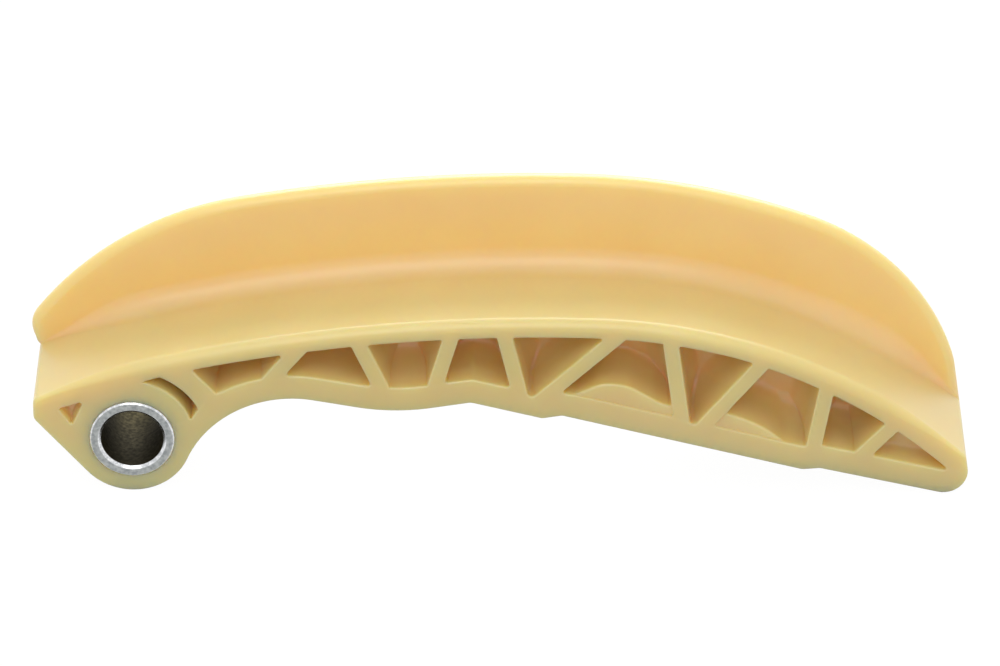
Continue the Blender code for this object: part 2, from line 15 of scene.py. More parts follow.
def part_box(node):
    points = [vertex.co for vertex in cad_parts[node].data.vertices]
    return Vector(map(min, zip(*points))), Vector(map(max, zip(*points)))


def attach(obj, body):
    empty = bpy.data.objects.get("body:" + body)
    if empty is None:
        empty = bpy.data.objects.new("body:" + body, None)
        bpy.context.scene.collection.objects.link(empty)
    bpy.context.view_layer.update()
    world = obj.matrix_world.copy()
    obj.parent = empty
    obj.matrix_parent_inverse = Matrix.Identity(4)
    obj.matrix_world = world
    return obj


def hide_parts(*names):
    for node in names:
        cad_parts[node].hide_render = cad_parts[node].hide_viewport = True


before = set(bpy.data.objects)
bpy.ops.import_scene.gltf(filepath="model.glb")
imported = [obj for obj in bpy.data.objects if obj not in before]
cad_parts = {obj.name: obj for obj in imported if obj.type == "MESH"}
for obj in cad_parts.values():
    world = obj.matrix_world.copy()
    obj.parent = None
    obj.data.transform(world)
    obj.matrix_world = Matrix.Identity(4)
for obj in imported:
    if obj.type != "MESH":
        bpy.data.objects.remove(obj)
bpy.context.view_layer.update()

MM = 0.001

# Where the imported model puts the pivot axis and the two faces
SLEEVE_LOW, SLEEVE_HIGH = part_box("pivot_sleeve")
BODY_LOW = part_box("guide_body")[0]
ORIGIN = Vector(((SLEEVE_LOW.x + SLEEVE_HIGH.x) / 2, BODY_LOW.y, 0.0))

# Sleeve
SLEEVE_RADIUS = 6.0 * MM
SLEEVE_BORE_RADIUS = 4.4 * MM
SLEEVE_PROUD = 0.2 * MM
SLEEVE_OUTER_CHAMFER = 0.22 * MM
SLEEVE_INNER_CHAMFER = 0.42 * MM
SLEEVE_EDGE_RADIUS = 0.06 * MM
SLEEVE_SIDES = 144
SEAT_GAP = 0.02 * MM
SEAT_LIP_RADIUS = 0.12 * MM

# Depth of the moulding
TRACK_WIDTH = 16.0 * MM
FLANGE_THICKNESS = 2.8 * MM
POCKET_DEPTH = 9.0 * MM
BACK_POCKET_DEPTH = 5.0 * MM
TIP_POCKET_DEPTH = 3.4 * MM
HEEL_POCKET_DEPTH = 1.9 * MM
SHELF_SETBACK = 0.3 * MM

# Walls
BOSS_WALL = 2.4 * MM
TRACK_WALL = 2.5 * MM
TRACK_TOE_WALL = 3.3 * MM
TRACK_WALL_GROWS_X = 85.0 * MM
LOWER_WALL = 3.7 * MM
RIB_THICKNESS = 2.2 * MM

# Chain track: a flat crown between a heel arc and a toe arc
TRACK_APEX_X = 58.2 * MM
TRACK_APEX_Z = 27.6 * MM
TRACK_CROWN_RADIUS = 231.0 * MM
TRACK_HEEL_TURN = math.radians(13.6)
TRACK_HEEL_RADIUS = 84.5 * MM
TRACK_TOE_TURN = math.radians(1.8)
TRACK_TOE_Z = 5.97 * MM

# Flange behind the track, a larger contour over the same crown
FLANGE_HEIGHT = 14.15 * MM
FLANGE_APEX_X = 57.55 * MM
FLANGE_CROWN_RADIUS = 233.5 * MM
FLANGE_HEEL_TURN = math.radians(10.4)
FLANGE_HEEL_RADIUS = 47.8 * MM
LOBE_TURN = math.radians(53.0)
LOBE_RADIUS = 3.8 * MM
LOBE_END_TURN = math.radians(136.5)
FLANGE_SHOULDER_TURN = math.radians(1.4)
FLANGE_TOE_TURN = math.radians(21.5)
FLANGE_TOE_RADIUS = 35.2 * MM
TOE_CORNER_TURN = math.radians(72.0)
TOE_CORNER_RADIUS = 13.5 * MM
TOE_END_TURN = math.radians(81.5)

# Ends and underside
HEEL_END_X = -13.85 * MM
HEEL_FOOT_Z = 10.6 * MM
HEEL_FOOT_RADIUS = 1.7 * MM
HEEL_TOP_RADIUS = 1.1 * MM
TOE_TOP_RADIUS = 1.4 * MM
TOE_NOSE_X = 114.96 * MM
TOE_NOSE_RADIUS = 3.4 * MM
ARCH_RADIUS = 16.3 * MM
ARCH_BEARING = math.radians(-23.05)

# Corners of the underside from the arch to the middle: x, z and corner radius
UNDERSIDE_CORNERS = (
    (37.0 * MM, 12.7 * MM, 32.0 * MM),
    (47.87 * MM, 14.5 * MM, 2.0 * MM),
    (57.95 * MM, 11.95 * MM, 1.0 * MM),
    (60.75 * MM, 12.42 * MM, 1.0 * MM),
)
# Corners of the small step before the nose: distance back from the nose, z and corner radius
STEP_CORNERS = (
    (20.1 * MM, 3.73 * MM, 1.6 * MM),
    (17.6 * MM, 3.94 * MM, 1.6 * MM),
)

# Ribs of the truss, each from its head under the track to its foot on the lower wall
RIBS = (
    (23.2 * MM, 20.0 * MM),
    (32.2 * MM, 35.2 * MM),
    (45.0 * MM, 42.9 * MM),
    (52.6 * MM, 54.6 * MM),
    (68.1 * MM, 58.6 * MM),
    (75.9 * MM, 77.6 * MM),
    (88.6 * MM, 81.0 * MM),
    (97.9 * MM, 96.4 * MM),
    (107.3 * MM, 103.4 * MM),
)
TRUSS_HEEL_HEAD_X = 8.6 * MM
TRUSS_HEEL_FOOT_X = 12.0 * MM
TRUSS_TIP_HEIGHT = 0.6 * MM
TRUSS_TIP_RADIUS = 0.3 * MM
UPPER_CORNER_RADIUS = 0.28 * MM
LOWER_CORNER_RADIUS = 0.4 * MM
POINTED_POCKET_WIDTH = 1.8 * MM
POINTED_CORNER_RADIUS = 0.6 * MM
SMALLEST_CORNER = 0.1 * MM

# Shelves on the lower wall, one in each of two pockets: x and rise above the wall
SHELVES = (
    (
        (61.9 * MM, -0.6 * MM), (64.5 * MM, 1.4 * MM), (65.8 * MM, 2.3 * MM), (68.2 * MM, 3.05 * MM),
        (70.2 * MM, 3.15 * MM), (71.8 * MM, 2.65 * MM), (75.0 * MM, 1.6 * MM), (77.4 * MM, 1.3 * MM),
    ),
    (
        (82.0 * MM, 2.6 * MM), (85.8 * MM, 2.2 * MM), (88.2 * MM, 1.75 * MM), (90.2 * MM, 1.0 * MM),
        (92.6 * MM, -0.4 * MM),
    ),
)
SHELF_SOFTNESS = 0.15 * MM
SHELF_ROOT_RADIUS = 0.12 * MM
SHELF_CREST_RADIUS = 0.35 * MM
SHELF_LOWEST = 0.5 * MM

# Lightening pockets in the boss
CRESCENT_INNER_RADII = (8.9 * MM, 9.4 * MM)
CRESCENT_OUTER_RADII = (10.6 * MM, 10.85 * MM)
CRESCENT_INNER_ARC = (math.radians(21.0), math.radians(80.5))
CRESCENT_OUTER_ARC = (math.radians(27.5), math.radians(68.0))
CRESCENT_CORNER_RADIUS = 0.3 * MM
HEEL_POCKET_CORNERS = ((-10.25 * MM, 13.3 * MM), (-6.8 * MM, 14.45 * MM), (-8.45 * MM, 10.6 * MM))

# Rounded edges
FACE_EDGE_RADIUS = 0.2 * MM
TRACK_EDGE_RADIUS = 1.6 * MM
TRACK_EDGE_END_RADIUS = 0.5 * MM
TRACK_EDGE_START_LENGTH = 3.0 * MM
TRACK_EDGE_EASE_LENGTH = 15.0 * MM
FLANGE_EDGE_RADIUS = 1.3 * MM
FLANGE_ROOT_RADIUS = 3.4 * MM
FLANGE_EDGE_EASE_LENGTH = 3.5 * MM
ROOT_END_RADIUS = 0.4 * MM
ROOT_START_LENGTH = 1.2 * MM
ROOT_EASE_LENGTH = 16.0 * MM
ROOT_LEAN_LENGTH = 3.0 * MM
SMALLEST_ROOT = 0.3 * MM
CRISP_LIP_RADIUS = 0.18 * MM
SOFT_LIP_RADIUS = 0.3 * MM
SOFT_LIP_FROM = 0.15
SOFT_LIP_OVER = 0.7
POCKET_DRAFT = 0.12 * MM
POCKET_FLOOR_RISE = 4.0 * MM
POCKET_FLOOR_SHARE = 0.6

# Colours of the sleeve: painted shade for its bore, its dull end face, and a painted highlight on its chamfers
# painted shade: the bore gets a near-black colour for the shade inside the hole
PAINTED_BORE_SHADE = (0.043, 0.034, 0.0095)
DULL_STEEL = (0.38, 0.395, 0.39)
# painted highlight: both chamfers and the outer rim get a brighter steel colour for the light they catch
PAINTED_CHAMFER_HIGHLIGHT = (0.78, 0.79, 0.8)

# Colours of the nylon, and the unevenness of both finishes: places on the cloud and colours there
NYLON_TONES = ((0.35, (0.778, 0.592, 0.24)), (0.65, (0.798, 0.616, 0.26)))
NYLON_ROUGHNESS = (0.29, 0.35)
NYLON_GLOW_DEPTH = (1.0, 0.68, 0.3)
NYLON_GLOW_SCALE = 7.0 * MM
STEEL_MOTTLE = ((0.36, (0.72, 0.735, 0.75)), (0.62, (1.08, 1.08, 1.08)))
STEEL_MARGIN = 0.2 * MM
STEEL_ROUGHNESS = {"bore": 0.6, "edge": 0.2, "face": 0.4, "rim": 0.22}
GRAIN_RELIEF = 0.02 * MM

# Studio: light from everywhere, a table that glows, and two soft boxes with their places and powers
SKY_COLOUR = (0.97, 0.985, 1.0, 1.0)
SKY_STRENGTH = 0.84
TABLE_GREY = 0.35
TABLE_GLOW = 1.13
TABLE_GLOW_SHARE = 0.86
TABLE_HALF_WIDTH = 2.5
TABLE_DROP = 0.0001
SOFT_BOXES = (("front", (-0.1, -0.9, 1.0), 3.6), ("back", (0.1, 1.0, 0.75), 10.8))
SOFT_BOX_AIM = (0.0, 0.0, 0.02)
SOFT_BOX_SIZE = 0.9

# Camera: its height over the table's plane as an angle, its place before the pivot and how the guide lies
CAMERA_ELEVATION = math.radians(29.8)
CAMERA_LENS = 230.4
CAMERA_SENSOR = 36.0
CAMERA_PLACE = (0.0, -0.77752, 0.47098)
CAMERA_AIM = (0.052, 0.0, -0.0084)
PIVOT_PLACE = (-0.051724, -0.0094, 0.0084)
GUIDE_TILT = -0.0039

# Fineness of the mesh
TRACK_STEPS = 150
CHORD_ERROR = 0.003 * MM
LONGEST_REACH = 0.49
CORNER_CLEARANCE = 2.0 * MM
TIP_LINE_LENGTH = 1.0 * MM
LARGEST_STEP = math.radians(7.0)
END_CORNER_STEPS = 8
HEEL_WALL_STEPS = 20
NOTCH = HEEL_WALL_STEPS + 4
LOBE_STEPS = 40
LOBE_POINTS = 18
TOE_PAIRED_LENGTH = 2.0 * MM
CREST_STEPS = (120, 160)
EDGE_STEPS = 6
ROOT_STEPS = 12
LIP_STEPS = 5
FLOOR_STEPS = 7
POCKET_CORNER_STEPS = 7
CEILING_SAMPLES = 10
FLOOR_SAMPLES = 18
CRESCENT_STEPS = 18
SHELF_STEPS = 4

QUARTER = math.pi / 2
BODY_DEPTH = TRACK_WIDTH + FLANGE_THICKNESS
BOSS_RADIUS = SLEEVE_RADIUS + BOSS_WALL
PIVOT = Vector((0.0, BOSS_RADIUS))
NOSE = Vector((TOE_NOSE_X, TOE_NOSE_RADIUS))
FLANGE_APEX_Z = TRACK_APEX_Z + FLANGE_HEIGHT


# ---------------------------------------------------------------- outlines

def bearing(angle):
    """Unit vector in the X-Z plane, angle counted from +X towards +Z."""
    return Vector((math.cos(angle), math.sin(angle)))


def arc(centre, radius, start, end, count=None):
    """Points of an arc, both ends included, close enough to stay within the chord error."""
    if count is None:
        step = min(2 * math.acos(max(0.0, 1 - CHORD_ERROR / radius)), LARGEST_STEP)
        count = max(1, math.ceil(abs(end - start) / step))
    return [centre + radius * bearing(start + (end - start) * i / count) for i in range(count + 1)]


class Crown:
    """A crest made of tangent arcs on each side of its apex.

    Each side is a list of (radius, turn): the arc runs until the surface has turned that far.
    """

    def __init__(self, apex_x, apex_z, heel, toe):
        self.apex_x = apex_x
        self.sides = {-1: self.centres(apex_z, heel), 1: self.centres(apex_z, toe)}

    @staticmethod
    def centres(apex_z, arcs):
        placed = []
        along, height = 0.0, apex_z - arcs[0][0]
        for index, (radius, turn) in enumerate(arcs):
            placed.append((along, height, radius, turn))
            if index + 1 < len(arcs):
                change = radius - arcs[index + 1][0]
                along += change * math.sin(turn)
                height += change * math.cos(turn)
        return placed

    def point(self, side, turn):
        """The point where the crest has turned by this much on the given side."""
        for along, height, radius, limit in self.sides[side]:
            if turn <= limit + 1e-9:
                break
        x = along + radius * math.sin(turn)
        return Vector((self.apex_x + side * x, height + radius * math.cos(turn)))

    def turn_at(self, x):
        """How far the crest has turned, down towards the nearer end, at x."""
        side = 1 if x >= self.apex_x else -1
        away = abs(x - self.apex_x)
        for along, _height, radius, limit in self.sides[side]:
            reach = min((away - along) / radius, 1.0)
            if math.asin(reach) <= limit:
                break
        return side, math.asin(reach)

    def height(self, x):
        side, turn = self.turn_at(x)
        return self.point(side, turn).y

    def below(self, x, wall):
        """Height at x of the surface that lies one wall thickness under the crest."""
        _side, turn = self.turn_at(x)
        return self.height(x) - wall / math.cos(turn)


def turned(start, end):
    """The way from one end of an arc of radius 1 to the other, as the crest turns down towards the toe."""
    return Vector((math.sin(end) - math.sin(start), math.cos(end) - math.cos(start)))


def shoulder_radius():
    """Radius of the flange's shoulder with which the end face comes down to touch the nose."""
    end = Vector((FLANGE_APEX_X, FLANGE_APEX_Z))
    end += FLANGE_CROWN_RADIUS * turned(0.0, FLANGE_SHOULDER_TURN)
    end += FLANGE_TOE_RADIUS * turned(FLANGE_TOE_TURN, TOE_CORNER_TURN)
    end += TOE_CORNER_RADIUS * turned(TOE_CORNER_TURN, TOE_END_TURN)
    normal = bearing(QUARTER - TOE_END_TURN)
    short = (NOSE - end).dot(normal) + TOE_NOSE_RADIUS
    return short / turned(FLANGE_SHOULDER_TURN, FLANGE_TOE_TURN).dot(normal)


FLANGE = Crown(
    FLANGE_APEX_X, FLANGE_APEX_Z,
    heel=[(FLANGE_CROWN_RADIUS, FLANGE_HEEL_TURN), (FLANGE_HEEL_RADIUS, LOBE_TURN),
          (LOBE_RADIUS, LOBE_END_TURN)],
    toe=[(FLANGE_CROWN_RADIUS, FLANGE_SHOULDER_TURN), (shoulder_radius(), FLANGE_TOE_TURN),
         (FLANGE_TOE_RADIUS, TOE_CORNER_TURN), (TOE_CORNER_RADIUS, TOE_END_TURN)],
)


def line_crossing(point_a, direction_a, point_b, direction_b):
    """Where two lines of the X-Z plane meet."""
    across = direction_a.x * direction_b.y - direction_a.y * direction_b.x
    gap = point_b - point_a
    return point_a + direction_a * ((gap.x * direction_b.y - gap.y * direction_b.x) / across)


def rounded_corner(before, corner, after, radius, count=None):
    """Points of the fillet that rounds a corner of a polygon."""
    into = (before - corner).normalized()
    out = (after - corner).normalized()
    half = into.angle(out) / 2
    reach = min(radius / math.tan(half), LONGEST_REACH * (before - corner).length,
                LONGEST_REACH * (after - corner).length)
    radius = reach * math.tan(half)
    centre = corner + (into + out).normalized() * (radius / math.sin(half))
    first = corner + into * reach - centre
    last = corner + out * reach - centre
    start = math.atan2(first.y, first.x)
    sweep = (math.atan2(last.y, last.x) - start + math.pi) % (2 * math.pi) - math.pi
    return arc(centre, radius, start, start + sweep, count)


def tangent_bearing(centre, radius, outside, side):
    """Bearing of the point where a line from an outside point touches a circle."""
    gap = outside - centre
    return math.atan2(gap.y, gap.x) + side * math.acos(radius / gap.length)


def toe_end():
    """The leaning end face: a point on it and its downward direction."""
    top = FLANGE.point(1, TOE_END_TURN)
    return top, Vector((math.cos(TOE_END_TURN), -math.sin(TOE_END_TURN)))


def on_toe_end(height):
    """The point of the end face at this height."""
    top, down = toe_end()
    return top + down * ((top.y - height) / -down.y)


def track_toe_radius():
    """Radius of the toe arc, which leaves the crown smoothly and ends on the end face."""
    normal = bearing(QUARTER - TRACK_TOE_TURN)
    start = Vector((TRACK_APEX_X, TRACK_APEX_Z - TRACK_CROWN_RADIUS)) + TRACK_CROWN_RADIUS * normal
    reach = on_toe_end(TRACK_TOE_Z) - start
    return -reach.length_squared / (2 * reach.dot(normal))


TRACK = Crown(
    TRACK_APEX_X, TRACK_APEX_Z,
    heel=[(TRACK_CROWN_RADIUS, TRACK_HEEL_TURN), (TRACK_HEEL_RADIUS, QUARTER)],
    toe=[(TRACK_CROWN_RADIUS, TRACK_TOE_TURN), (track_toe_radius(), QUARTER)],
)


def ceiling(x):
    """Height at x of the track wall's inner side; the wall grows thicker towards the toe."""
    wall = np.interp(x, (TRACK_WALL_GROWS_X, TOE_NOSE_X), (TRACK_WALL, TRACK_TOE_WALL))
    return TRACK.below(x, float(wall))


def underside():
    """Outline below the track, from the toe end face round the underside and up the heel end."""
    step = [(TOE_NOSE_X - back, z, radius) for back, z, radius in STEP_CORNERS]
    corners = [Vector((x, z)) for x, z, _radius in UNDERSIDE_CORNERS + tuple(step)]
    radii = [radius for _x, _z, radius in UNDERSIDE_CORNERS + tuple(step)]
    points = arc(NOSE, TOE_NOSE_RADIUS, QUARTER - TOE_END_TURN,
                 tangent_bearing(NOSE, TOE_NOSE_RADIUS, corners[-1], 1) - 2 * math.pi)

    arch_centre = PIVOT + (BOSS_RADIUS + ARCH_RADIUS) * bearing(ARCH_BEARING)
    arch_end = tangent_bearing(arch_centre, ARCH_RADIUS, corners[0], 1)
    arch_last = arch_centre + ARCH_RADIUS * bearing(arch_end)
    before = points[-1]
    for index in range(len(corners) - 1, -1, -1):
        after = corners[index - 1] if index > 0 else arch_last
        points += rounded_corner(before, corners[index], after, radii[index])
        before = corners[index]
    points += arc(arch_centre, ARCH_RADIUS, arch_end, ARCH_BEARING + math.pi)

    foot = Vector((HEEL_END_X + HEEL_FOOT_RADIUS, HEEL_FOOT_Z + HEEL_FOOT_RADIUS))
    gap = foot - PIVOT
    slant = math.atan2(gap.y, gap.x) + math.acos((BOSS_RADIUS - HEEL_FOOT_RADIUS) / gap.length)
    points += arc(PIVOT, BOSS_RADIUS, ARCH_BEARING, slant - 2 * math.pi)[1:]
    points += arc(foot, HEEL_FOOT_RADIUS, slant, math.pi)[:-1]
    return points


def travelled(path):
    """How far along an open path each of its points lies."""
    lengths = [0.0]
    for a, b in zip(path, path[1:]):
        lengths.append(lengths[-1] + (b - a).length)
    return lengths


def spread(points, count):
    """The same path with evenly spaced points."""
    lengths = travelled(points)
    places = np.linspace(0.0, lengths[-1], count)
    xs = np.interp(places, lengths, [p.x for p in points])
    zs = np.interp(places, lengths, [p.y for p in points])
    return [Vector((x, z)) for x, z in zip(xs, zs)]


def smooth(share):
    """A share between 0 and 1 that starts and ends gently."""
    share = min(1.0, max(0.0, share))
    return share * share * (3 - 2 * share)


def track_top():
    """Upper outline at the track: up the heel end face, over the crown and down the toe end face."""
    path = [Vector((x, TRACK.height(x)))
            for x in np.linspace(HEEL_END_X, on_toe_end(TRACK_TOE_Z).x, TRACK_STEPS + 1)]
    skip = 3
    heel = rounded_corner(heel_joint(), path[0], path[skip], HEEL_TOP_RADIUS, END_CORNER_STEPS)
    toe = rounded_corner(path[-1 - skip], path[-1], toe_joint(), TOE_TOP_RADIUS, END_CORNER_STEPS)
    wall = [heel_joint().lerp(heel[0], step / HEEL_WALL_STEPS) for step in range(HEEL_WALL_STEPS)]
    return wall + heel + path[skip - 1:1 - skip] + toe + [toe_joint()]


def heel_joint():
    """Upper end of the rounded heel foot, where the heel end face begins."""
    return Vector((HEEL_END_X, HEEL_FOOT_Z + HEEL_FOOT_RADIUS))


def toe_joint():
    """Point of the leaning end face halfway between the track and the nose."""
    return on_toe_end((TRACK_TOE_Z + TOE_NOSE_RADIUS) / 2)


def flange_top(track):
    """Upper outline at the flange, with as many points as the track's and sharing both of its ends."""
    lobe = [FLANGE.point(-1, turn) for turn in np.linspace(LOBE_END_TURN, LOBE_TURN, LOBE_STEPS)]
    crest = [FLANGE.point(-1, turn) for turn in np.linspace(LOBE_TURN, 0.0, CREST_STEPS[0])]
    crest += [FLANGE.point(1, turn) for turn in np.linspace(0.0, TOE_END_TURN, CREST_STEPS[1])[1:]]
    round_lobe = spread(track[NOTCH:NOTCH + 1] + lobe, LOBE_POINTS + 1)[1:]
    _top, down = toe_end()
    shared = track[-2]
    turn_in = shared - down * TOE_PAIRED_LENGTH
    foot = [turn_in.lerp(shared, step / END_CORNER_STEPS) for step in range(1, END_CORNER_STEPS + 1)]
    along = spread(crest + [turn_in], len(track) - NOTCH - LOBE_POINTS - 1 - len(foot))[1:]
    return track[:NOTCH + 1] + round_lobe + along + foot + track[-1:]


def clear_of_ends(path):
    """For each point, how far along the path it lies from the ends that track and flange share."""
    lengths = travelled(path)
    return [min(length - lengths[NOTCH], lengths[-2] - length) for length in lengths]


def flange_shares(flange):
    """For each point of the flange's outline, how much of the flange's rounding it has: none at both ends."""
    return [smooth((clear - ROOT_END_RADIUS) / FLANGE_EDGE_EASE_LENGTH) for clear in clear_of_ends(flange)]


def path_normals(path):
    """Unit vectors to the left-hand side of an open path."""
    normals = []
    for index in range(len(path)):
        direction = (path[min(index + 1, len(path) - 1)] - path[max(index - 1, 0)]).normalized()
        normals.append(Vector((-direction.y, direction.x)))
    return normals


def outward(ring):
    """Unit vectors that point out of a closed clockwise ring."""
    count = len(ring)
    normals = []
    for index in range(count):
        direction = (ring[(index + 1) % count] - ring[index - 1]).normalized()
        normals.append(Vector((-direction.y, direction.x)))
    return normals


def rim(ring, radii, turn):
    """One stage of a rounded outer edge: (depth under the face, point) for each point of the ring."""
    drawn_in, depth = 1 - math.sin(turn), 1 - math.cos(turn)
    normals = outward(ring)
    return [(radius * depth, point - normal * radius * drawn_in)
            for point, normal, radius in zip(ring, normals, radii)]


def level(ring, depth):
    """A ring that lies at one depth."""
    return [(depth, point) for point in ring]


def track_edge_radii(track):
    """Radius of the front edge along the track: crisp at both ends, soft in the middle."""
    lengths = travelled(track)
    radii = []
    for length in lengths:
        clear = min(length, lengths[-1] - length)
        radius = FACE_EDGE_RADIUS
        radius += (TRACK_EDGE_END_RADIUS - FACE_EDGE_RADIUS) * smooth(clear / TRACK_EDGE_START_LENGTH)
        past = (clear - TRACK_EDGE_START_LENGTH) / TRACK_EDGE_EASE_LENGTH
        radii.append(radius + (TRACK_EDGE_RADIUS - TRACK_EDGE_END_RADIUS) * smooth(past))
    return radii


def root_stage(track, turn):
    """One stage of the hollow between track and flange, which is tight at both ends: (depth, point)."""
    _top, down = toe_end()
    total = travelled(track)[-2]
    stage = []
    for point, normal, length, clear in zip(track, path_normals(track), travelled(track), clear_of_ends(track)):
        radius = ROOT_END_RADIUS * smooth(clear / ROOT_START_LENGTH)
        radius += (FLANGE_ROOT_RADIUS - ROOT_END_RADIUS) * smooth(clear / ROOT_EASE_LENGTH)
        upright = 1 - smooth((total - length) / ROOT_LEAN_LENGTH)
        direction = normal.lerp(-down, upright).normalized()
        depth = TRACK_WIDTH - max(radius, SMALLEST_ROOT) * (1 - math.sin(turn))
        stage.append((depth, point + direction * radius * (1 - math.cos(turn))))
    return stage


def flange_stage(flange, shares, step):
    """One stage of the flange's rounded front rim; where both outlines are the same it just goes on back."""
    turn = QUARTER * step / EDGE_STEPS
    stage = []
    for point, normal, share in zip(flange, path_normals(flange), shares):
        even = (step + 1) / (EDGE_STEPS + 1)
        depth = TRACK_WIDTH + FLANGE_EDGE_RADIUS * ((1 - math.cos(turn)) * share + even * (1 - share))
        stage.append((depth, point - normal * FLANGE_EDGE_RADIUS * share * (1 - math.sin(turn))))
    return stage


def body_rings():
    """The moulding's skin as rings of (depth, point), from the ribbed face back to the plain face."""
    lower, track = underside(), track_top()
    flange = flange_top(track)
    shares = flange_shares(flange)
    front_radii = track_edge_radii(track) + [FACE_EDGE_RADIUS] * len(lower)
    rings = [rim(track + lower, front_radii, QUARTER * step / EDGE_STEPS) for step in range(EDGE_STEPS + 1)]
    for step in range(ROOT_STEPS + 1):
        turn = QUARTER * step / ROOT_STEPS
        depth = TRACK_WIDTH - SMALLEST_ROOT * (1 - math.sin(turn))
        rings.append(root_stage(track, turn) + level(lower, depth))
    for step in range(EDGE_STEPS + 1):
        depth = TRACK_WIDTH + FLANGE_EDGE_RADIUS * (step + 1) / (EDGE_STEPS + 1)
        rings.append(flange_stage(flange, shares, step) + level(lower, depth))
    rounder = FLANGE_EDGE_RADIUS - FACE_EDGE_RADIUS
    back_radii = [FACE_EDGE_RADIUS + rounder * share for share in shares] + [FACE_EDGE_RADIUS] * len(lower)
    for step in range(EDGE_STEPS, -1, -1):
        stage = rim(flange + lower, back_radii, QUARTER * step / EDGE_STEPS)
        rings.append([(BODY_DEPTH - depth, point) for depth, point in stage])
    return rings


# ---------------------------------------------------------------- pockets

def lower_wall(outline):
    """The height at x of the lower wall's inner side, as a function."""
    step = 0.5 * MM

    def height(x):
        here, ahead = (float(np.interp(place, *outline)) for place in (x, x + step))
        return here + LOWER_WALL * math.hypot(1.0, (ahead - here) / step)
    return height


def shelf_rise(shelf, x):
    """How far a shelf stands over the lower wall at x: a smooth crest that dies out into the wall."""
    xs = [place for place, _rise in shelf]
    rises = [rise for _place, rise in shelf]
    slopes = np.gradient(rises, xs)
    x = min(max(x, xs[0]), xs[-1])
    index = min(max(int(np.searchsorted(xs, x)) - 1, 0), len(xs) - 2)
    width = xs[index + 1] - xs[index]
    t = (x - xs[index]) / width
    rise = ((2 * t ** 3 - 3 * t ** 2 + 1) * rises[index] + (t ** 3 - 2 * t ** 2 + t) * width * slopes[index]
            + (3 * t ** 2 - 2 * t ** 3) * rises[index + 1] + (t ** 3 - t ** 2) * width * slopes[index + 1])
    return (rise + math.hypot(rise, SHELF_SOFTNESS)) / 2


def shelved(floor):
    """The lower wall's inner side with the shelves on it, as a function of x."""
    def height(x):
        rise = 0.0
        for shelf in SHELVES:
            if shelf[0][0] <= x <= shelf[-1][0]:
                rise = shelf_rise(shelf, x)
        return floor(x) + rise
    return height


def truss_tip(floor):
    """Where the track wall and the lower wall come within the tip height of each other."""
    low, high = UNDERSIDE_CORNERS[0][0], TOE_NOSE_X
    for _attempt in range(30):
        middle = (low + high) / 2
        if ceiling(middle) - floor(middle) > TRUSS_TIP_HEIGHT:
            low = middle
        else:
            high = middle
    return low


def rib_side(floor, rib, side):
    """One face of a rib, cut off at the track wall and at the lower wall: head and foot."""
    head = Vector((rib[0], ceiling(rib[0])))
    foot = Vector((rib[1], floor(rib[1])))
    along = (foot - head).normalized()
    shift = Vector((-along.y, along.x)) * (side * RIB_THICKNESS / 2)
    top = head + shift
    bottom = foot + shift
    for _attempt in range(12):
        top -= along * ((ceiling(top.x) - top.y) / -along.y)
        bottom += along * ((bottom.y - floor(bottom.x)) / -along.y)
    return top, bottom


def between(left, right, height, count):
    """Points strictly between two x positions, clear of both, at the given heights."""
    clear = math.copysign(min(CORNER_CLEARANCE, abs(right - left) / 3), right - left)
    return [Vector((x, height(x))) for x in np.linspace(left + clear, right - clear, count)]


def truss_pockets(base, floor):
    """Pockets of the truss over the given floor: (points clockwise from the upper left, corner radii)."""
    faces = [(Vector((TRUSS_HEEL_HEAD_X, ceiling(TRUSS_HEEL_HEAD_X))),
              Vector((TRUSS_HEEL_FOOT_X, floor(TRUSS_HEEL_FOOT_X))))]
    for rib in RIBS:
        faces += [rib_side(base, rib, -1), rib_side(base, rib, 1)]
    made = []
    for index in range(0, len(faces), 2):
        top_left, bottom_left = faces[index]
        if index + 1 < len(faces):
            top_right, bottom_right = faces[index + 1]
            points = [top_left] + between(top_left.x, top_right.x, ceiling, CEILING_SAMPLES) + [top_right]
        else:
            tip_x, back = truss_tip(base), TIP_LINE_LENGTH
            upper = [Vector((x, ceiling(x))) for x in (tip_x - back, tip_x)]
            under = [Vector((x, floor(x))) for x in (tip_x - back, tip_x)]
            tip = line_crossing(upper[1], upper[1] - upper[0], under[1], under[1] - under[0])
            points = [top_left] + between(top_left.x, tip.x, ceiling, CEILING_SAMPLES) + [tip]
            corners = {0: UPPER_CORNER_RADIUS, len(points) - 1: TRUSS_TIP_RADIUS}
            points += between(tip.x, bottom_left.x, floor, FLOOR_SAMPLES)
            corners[len(points)] = LOWER_CORNER_RADIUS
            made.append((points + [bottom_left], corners))
            continue
        corners = {0: UPPER_CORNER_RADIUS, len(points) - 1: UPPER_CORNER_RADIUS}
        if bottom_right.x - bottom_left.x < POINTED_POCKET_WIDTH:
            tip = line_crossing(top_left, bottom_left - top_left, top_right, bottom_right - top_right)
            corners[len(points)] = POINTED_CORNER_RADIUS
            made.append((points + [tip], corners))
            continue
        bottom_left = on_floor(top_left, bottom_left, floor)
        bottom_right = on_floor(top_right, bottom_right, floor)
        corners[len(points)] = LOWER_CORNER_RADIUS
        points += [bottom_right] + between(bottom_right.x, bottom_left.x, floor, FLOOR_SAMPLES)
        corners[len(points)] = LOWER_CORNER_RADIUS
        made.append((points + [bottom_left], corners))
    return made


def on_floor(top, bottom, floor):
    """Where the side of a pocket meets the floor."""
    along = (bottom - top).normalized()
    place = bottom.copy()
    for _attempt in range(12):
        place += along * ((place.y - floor(place.x)) / -along.y)
    return place


def widening_arc(radii, angles):
    """Points around the pivot between two bearings, going from one radius to the other."""
    shares = [step / CRESCENT_STEPS for step in range(CRESCENT_STEPS + 1)]
    turns = [angles[0] + (angles[1] - angles[0]) * share for share in shares]
    return [PIVOT + bearing(turn) * (radii[0] + (radii[1] - radii[0]) * share)
            for turn, share in zip(turns, shares)]


